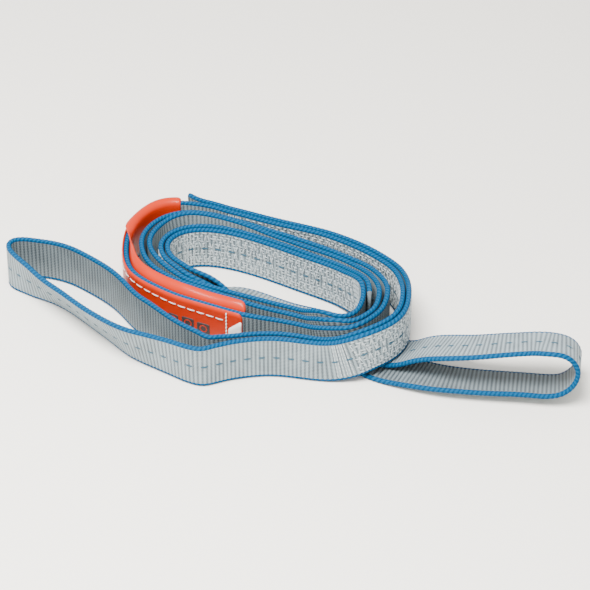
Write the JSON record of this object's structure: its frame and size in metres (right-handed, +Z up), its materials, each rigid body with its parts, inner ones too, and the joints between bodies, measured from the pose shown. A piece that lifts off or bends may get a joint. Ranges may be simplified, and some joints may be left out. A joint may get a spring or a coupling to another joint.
{
  "type": "flat web sling",
  "caption": "Flat polyester web sling with a soft sewn eye at each end, blue selvedges and an orange label, lying loosely coiled on the floor.",
  "frame": {"origin": "bottom centre of the bounding box of the coiled sling", "axes": "+X along the longest extent, from the first eye to the second; +Z up, square to the floor; +Y from the front of the coil to its far side"},
  "size_m": [0.3616, 0.1869, 0.0394],
  "materials": {
    "webbing": "woven polyester, matte with a slight sheen",
    "seam_thread": "matte sewing thread",
    "label": "satin flexible sheet",
    "label_thread": "matte sewing thread",
    "label_insert": "satin film"
  },
  "bodies": {
    "coil": {"first_tail_ply": "webbing", "outer_turn_ply": "webbing", "label_turn_webbing": "webbing", "second_turn_webbing": "webbing", "third_turn_webbing": "webbing", "inner_turn_ply": "webbing", "second_tail_ply": "webbing", "seam_1_straight_rows": "seam_thread", "seam_1_zigzag": "seam_thread", "seam_1_eye_tack": "seam_thread", "seam_1_end_tack": "seam_thread", "seam_2_straight_rows": "seam_thread", "seam_2_zigzag": "seam_thread", "seam_2_eye_tack": "seam_thread", "seam_2_end_tack": "seam_thread", "label_inner_panel": "label", "label_outer_panel": "label", "label_thread": "label_thread", "label_insert": "label_insert"},
    "first_eye": {"first_eye_loop": "webbing"},
    "second_eye": {"second_eye_loop": "webbing"}
  },
  "joints": [
    {"name": "first_eye_swing", "type": "hinge", "parent": "coil", "child": "first_eye", "pos_m": [-0.0466, -0.0708, 0.015], "axis": [0, 0, 1], "range_deg": [0, 25]},
    {"name": "second_eye_lift", "type": "hinge", "parent": "coil", "child": "second_eye", "pos_m": [0.0824, -0.0532, 0.0163], "axis": [-0.375, -0.927, 0], "range_deg": [0, 60]}
  ]
}
